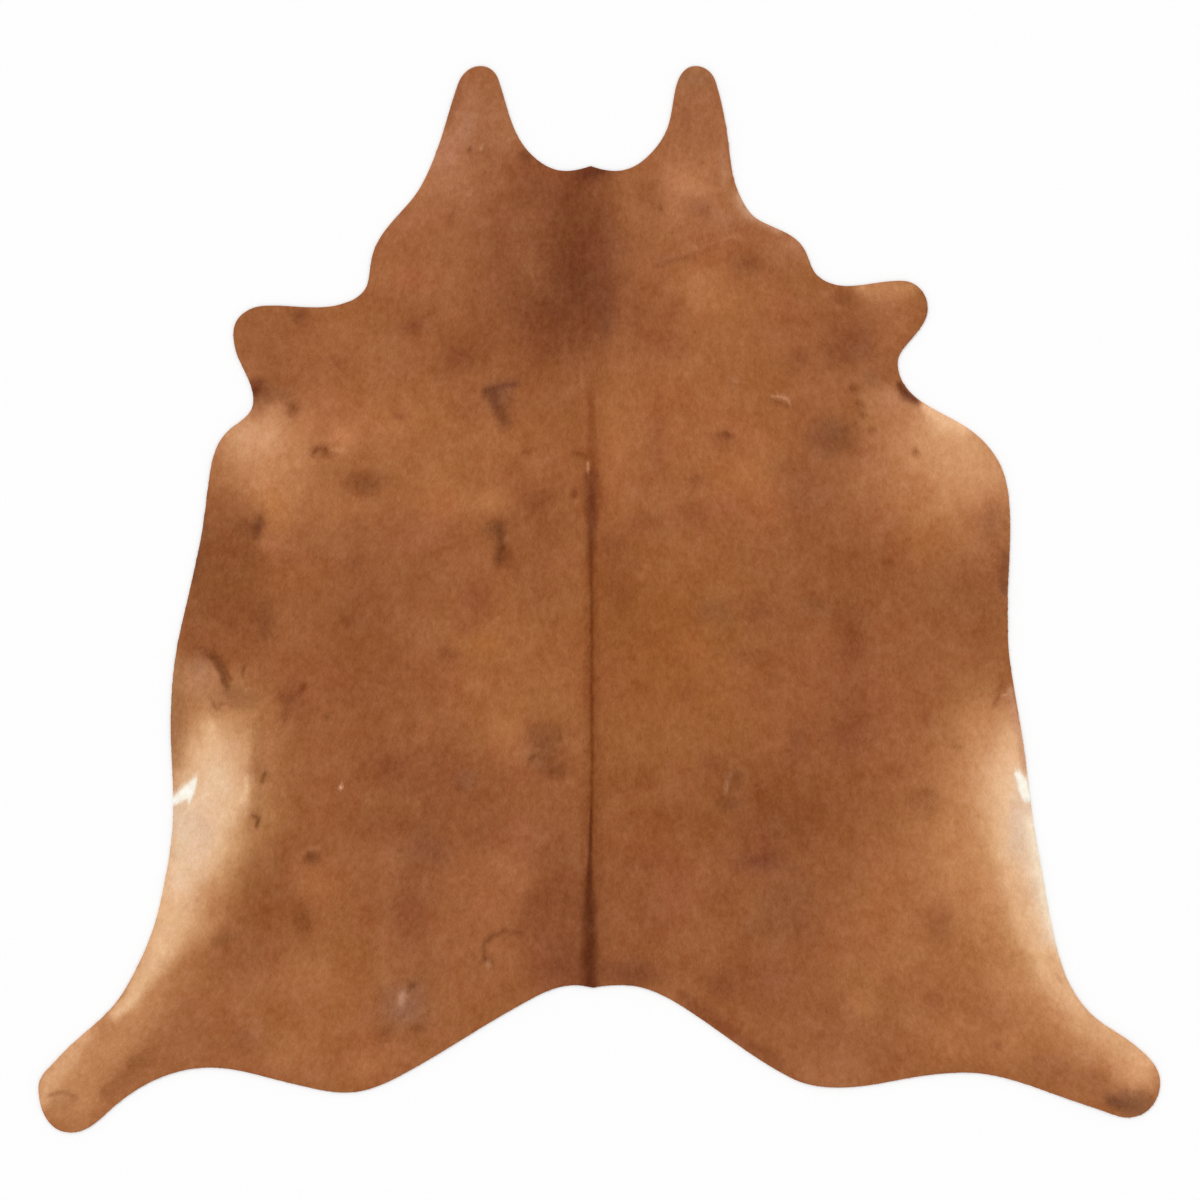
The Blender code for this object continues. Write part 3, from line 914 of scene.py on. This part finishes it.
def lock_layers(edge):
    """The layers of locks, each as a left and a right piece, parted at the backbone."""
    pieces = []
    for turn, layer in enumerate(LAYERS):
        roots = scattered(edge, layer.spacing, ROOT_INSIDE, 70 + turn)
        left = roots[:, 0] < BACKBONE
        pieces.append(locks(layer, layer.name + "_left", roots[left], edge, 2 * turn))
        pieces.append(locks(layer, layer.name + "_right", roots[~left], edge, 2 * turn + 1))
    roots = scattered(edge, FINE_LOCKS.spacing, ROOT_INSIDE, 78, lambda x, y: marked(x, y) > FINE_FROM)
    pieces.append(locks(FINE_LOCKS, FINE_LOCKS.name, roots, edge, 4))
    return pieces


def locks(layer, name, roots, edge, turn):
    """Lying locks with these roots. Each is a slim closed wedge with a low ridge."""
    random = np.random.default_rng(SEED + 80 + turn)
    count = len(roots)
    inside, outward = edge.depth(roots)
    heading = hair_heading(*roots.T) + np.radians(layer.stray) * random.standard_normal(count)
    way = np.stack([np.cos(heading), np.sin(heading)], axis=1)
    side = np.stack([-way[:, 1], way[:, 0]], axis=1)
    length = layer.length * np.exp(LENGTH_SPREAD * random.standard_normal(count))
    towards_edge = (way * outward).sum(axis=1).clip(STEEPEST, 1)
    length = np.minimum(length, (inside + OVERHANG) / towards_edge)
    for _ in range(OVERHANG_ROUNDS):
        reached = edge.depth(roots + way * length[:, None])[0]
        over = reached < -OVERHANG
        length[over] *= ((inside + OVERHANG) / (inside - reached))[over]
    length = length.clip(SHORTEST_LOCK, None)
    width = layer.width * (length / layer.length).clip(*WIDTH_KEEPS)
    size = (length / layer.length).clip(*HEIGHT_KEEPS)
    floor = UNDERCOAT_TOP + undercoat_relief(*roots.T)

    def heights(usual, spread, least, most):
        return floor + size * usual * (1 + spread * random.standard_normal(count)).clip(least, most)

    ridge = heights(layer.ridge, *RIDGES_VARY)
    tip = heights(layer.tip, *TIPS_VARY)
    left = np.column_stack([roots + side * width[:, None] / 2, floor - ROOT_DEPTH])
    right = np.column_stack([roots - side * width[:, None] / 2, floor - ROOT_DEPTH])
    crown = np.column_stack([roots + way * (RIDGE_PLACE * length)[:, None], ridge])
    end = np.column_stack([roots + way * length[:, None], tip])
    points = np.stack([left, right, crown, end], axis=1).reshape(-1, 3)
    one = np.array([[0, 1, 2], [0, 2, 3], [1, 3, 2], [0, 3, 1]])
    triangles = (one[None] + 4 * np.arange(count)[:, None, None]).reshape(-1, 3)
    piece = mesh_of(name, points, triangles)
    piece.data.shade_flat()
    own = SHADE_SPREAD * random.standard_normal(count)
    paint(piece, hide_colour(*points[:, :2].T) + np.repeat(own, 4)[:, None])
    # Each point's place across and along its lock, and the lock's own place in the noise.
    strand = np.empty((count, 4, 3), np.float32)
    strand[:, :, 0] = (0, 1, 0.5, 0.5)
    strand[:, :, 1] = (0, 0, RIDGE_PLACE, 1)
    strand[:, :, 2] = random.uniform(0, STRAND_SPREAD, count)[:, None]
    attribute = piece.data.attributes.new("strand", "FLOAT_VECTOR", "POINT")
    attribute.data.foreach_set("vector", strand.ravel())
    return piece


# The coat's fine speckle: how many of its blotches there are in a metre, and how deep it is in each channel.
SPECKLE = (105, 80, 105)
SPECKLE_DEPTH = (0.22, 0.43, 0.74)
SPECKLE_TINT = 0.14  # how much of it is colour, and not light and dark
SPECKLE_FADES = -0.45  # the power of the coat's own green by which pale hair speckles less
SPECKLE_NOISE = {"Scale": 1.0, "Detail": 3.0, "Roughness": 0.82}

# The strands of the hair: their noise, the part of its range that counts, the shades and the roughness that
# they make of it, and how closely they run, in a metre of undercoat or across, along and between locks.
STRAND_NOISE = {"Scale": 1.0, "Detail": 3.0, "Roughness": 0.6}
STRAND_RANGE = (0.25, 0.75)
STRAND_SHADES = (0.90, 1.10)
STRAND_ROUGHNESS = (0.48, 0.66)
UNDERCOAT_STRANDS = (420, 170, 420)
LOCK_STRANDS = (5, 3, 1)

# The suede's dark and light, as sRGB bytes, each with its place in the range of its clouds.
SUEDE_SHADES = [(0.3, (196, 182, 160)), (0.7, (216, 205, 186))]


def new_material(name):
    """A material, with helpers: set its shader, add a node, bring a source to a range, do vector maths."""
    material = bpy.data.materials.new(name)
    material.use_nodes = True
    nodes, links = material.node_tree.nodes, material.node_tree.links

    def settle(node, values, feeds):
        """Gives a node its settings and input values, and feeds it from these nodes or outputs."""
        for key, value in dict(values).items():
            if isinstance(key, int) or key in node.inputs:
                node.inputs[key].default_value = value
            else:
                setattr(node, key, value)
        for key, source in dict(feeds).items():
            links.new(getattr(source, "outputs", [source])[0], node.inputs[key])
        return node

    def shade(values, feeds):
        settle(nodes["Principled BSDF"], values, feeds)

    def add(kind, values=(), feeds=()):
        return settle(nodes.new("ShaderNode" + kind), values, feeds)

    def ranged(source, to, since=(0, 1)):
        ends = {"From Min": since[0], "From Max": since[1], "To Min": to[0], "To Max": to[1]}
        return add("MapRange", ends, {"Value": source})

    def vector(operation, feeds, values=()):
        return add("VectorMath", {"operation": operation, **dict(values)}, feeds)

    return material, shade, add, ranged, vector


def hair_material(name, stretch, from_strands):
    """Lying hair: the map's colour, fine strands in colour, roughness and height, and a soft sheen."""
    material, shade, add, ranged, vector = new_material(name)
    on_hide = add("TexCoord").outputs["Object"]
    in_lock = add("Attribute", {"attribute_name": "strand"}).outputs["Vector"] if from_strands else on_hide

    def noise(values, scale, place):
        return add("TexNoise", values, {"Vector": add("Mapping", {"Scale": scale}, {"Vector": place})})

    strands = noise(STRAND_NOISE, stretch, in_lock)
    grain = noise(SPECKLE_NOISE, SPECKLE, on_hide)
    colour = add("Attribute", {"attribute_name": "coat_colour"})
    green = add("SeparateColor", (), {0: colour}).outputs[1]
    strength = add("Math", {"operation": "POWER", 1: SPECKLE_FADES}, {0: green})
    tinted = add("MixRGB", {0: SPECKLE_TINT}, {1: grain, 2: grain.outputs[1]})
    middle = vector("SUBTRACT", {0: tinted}, {1: (0.5, 0.5, 0.5)})
    deep = vector("MULTIPLY", {0: middle}, {1: SPECKLE_DEPTH})
    speckle = vector("SCALE", {0: deep, "Scale": strength})
    speckled = vector("MULTIPLY_ADD", {0: speckle, 1: colour, 2: colour})
    depth = ranged(strands, STRAND_SHADES, STRAND_RANGE)
    shade(
        {"Sheen Weight": 0.02, "Sheen Roughness": 0.45, "Specular IOR Level": 0.12},
        {
            "Base Color": vector("SCALE", {0: speckled, "Scale": depth}),
            "Roughness": ranged(strands, STRAND_ROUGHNESS, STRAND_RANGE),
            "Normal": add("Bump", {"Strength": 0.5, "Distance": 0.0001}, {"Height": strands}),
        },
    )
    return material


def suede_material():
    """The flesh side and the cut edge: pale, brushed, faintly cloudy, with a short fibrous nap."""
    material, shade, add, ranged, vector = new_material("pale_suede")
    place = add("TexCoord").outputs["Object"]
    cloud = add("TexNoise", {"Scale": 7.0, "Detail": 4.0}, {"Vector": place})
    nap = add("TexNoise", {"Scale": 900.0, "Detail": 2.0, "Roughness": 0.7}, {"Vector": place})
    ramp = add("ValToRGB", (), {"Fac": cloud})
    for element, (position, colour) in zip(ramp.color_ramp.elements, SUEDE_SHADES):
        element.position = position
        element.color = (*linear(colour), 1)
    depth = ranged(nap, (0.85, 1.1))
    shade(
        {"Specular IOR Level": 0.2, "Sheen Weight": 0.25},
        {
            "Base Color": vector("SCALE", {0: ramp, "Scale": depth}),
            "Roughness": ranged(nap, (0.8, 1.0)),
            "Normal": add("Bump", {"Strength": 0.6, "Distance": 0.0003}, {"Height": nap}),
        },
    )
    return material


# The stage: how much of the floor the camera takes in, in metres, and its lens and sensor in millimetres.
VIEW_WIDTH = 2.4
VIEW_CENTRE = (0.0015, -0.0015)
LENS = 85
SENSOR = 36
FLOOR_SIZE = 80
FLOOR_GAP = 0.0002
FLOOR_TONES = (0.926, 0.934)
SKY_STRENGTH = 0.90
KEY_STRENGTH = 0.65
KEY_SPREAD = 40
KEY_WAY = (0.5, -0.6, -1.0)


def make_stage():
    """A plain pale floor under plain soft light, and the camera straight above the hide."""
    material, shade, add, ranged, _ = new_material("pale_floor")
    grain = add("TexNoise", {"Scale": 3.0, "Detail": 3.0}, {"Vector": add("TexCoord").outputs["Object"]})
    tone = ranged(grain, FLOOR_TONES)
    grey = add("CombineColor", (), {0: tone, 1: tone, 2: tone})
    shade({"Roughness": 0.9, "Specular IOR Level": 0.1}, {"Base Color": grey})
    corners = np.array([[-1, -1, 0], [1, -1, 0], [1, 1, 0], [-1, 1, 0]]) * FLOOR_SIZE / 2
    floor = mesh_of("floor", corners - [0, 0, FLOOR_GAP], np.array([[0, 1, 2], [0, 2, 3]]))
    floor.data.materials.append(material)

    scene = bpy.context.scene
    scene.view_settings.view_transform = "Standard"
    scene.world = bpy.data.worlds.new("soft_white")
    scene.world.use_nodes = True
    background = scene.world.node_tree.nodes["Background"]
    background.inputs["Color"].default_value = (1, 1, 1, 1)
    background.inputs["Strength"].default_value = SKY_STRENGTH
    lamp = bpy.data.lights.new("key", "SUN")
    lamp.angle = math.radians(KEY_SPREAD)
    lamp.energy = KEY_STRENGTH
    placed("key", lamp).rotation_euler = Vector(KEY_WAY).to_track_quat("-Z", "Y").to_euler()

    middle = (CAD_BOX[0] + CAD_BOX[1]) / 2
    eye = bpy.data.cameras.new("camera")
    eye.lens = LENS
    eye.sensor_width = SENSOR
    scene.camera = placed("camera", eye)
    reach = VIEW_WIDTH / 2 / (SENSOR / 2 / LENS)
    scene.camera.location = (middle.x + VIEW_CENTRE[0], middle.y + VIEW_CENTRE[1], CAD_BOX[1].z + reach)


def main():
    make_stage()
    edge = Edge(cut_edge())
    leather = sheet_mesh("leather", edge, LEATHER_RIM, LEATHER_GRID, 90)
    leather.data.materials.append(suede_material())
    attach(leather, "root")
    undercoat = sheet_mesh("undercoat", edge, UNDERCOAT_RIM, UNDERCOAT_GRID, 94, undercoat_relief)
    paint(undercoat, hide_colour(*places_of(undercoat.data).T.astype(float)))
    undercoat.data.materials.append(hair_material("undercoat_hair", UNDERCOAT_STRANDS, False))
    coat = hair_material("coat_hair", LOCK_STRANDS, True)
    layers = lock_layers(edge)
    for piece in layers:
        piece.data.materials.append(coat)
    for piece in [undercoat, *layers]:
        lay_flat_map(piece.data)
        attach(piece, "root")
    lay_flat_map(leather.data)
    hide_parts("hide")
    width, length = (CAD_BOX[1] - CAD_BOX[0]).xy


main()
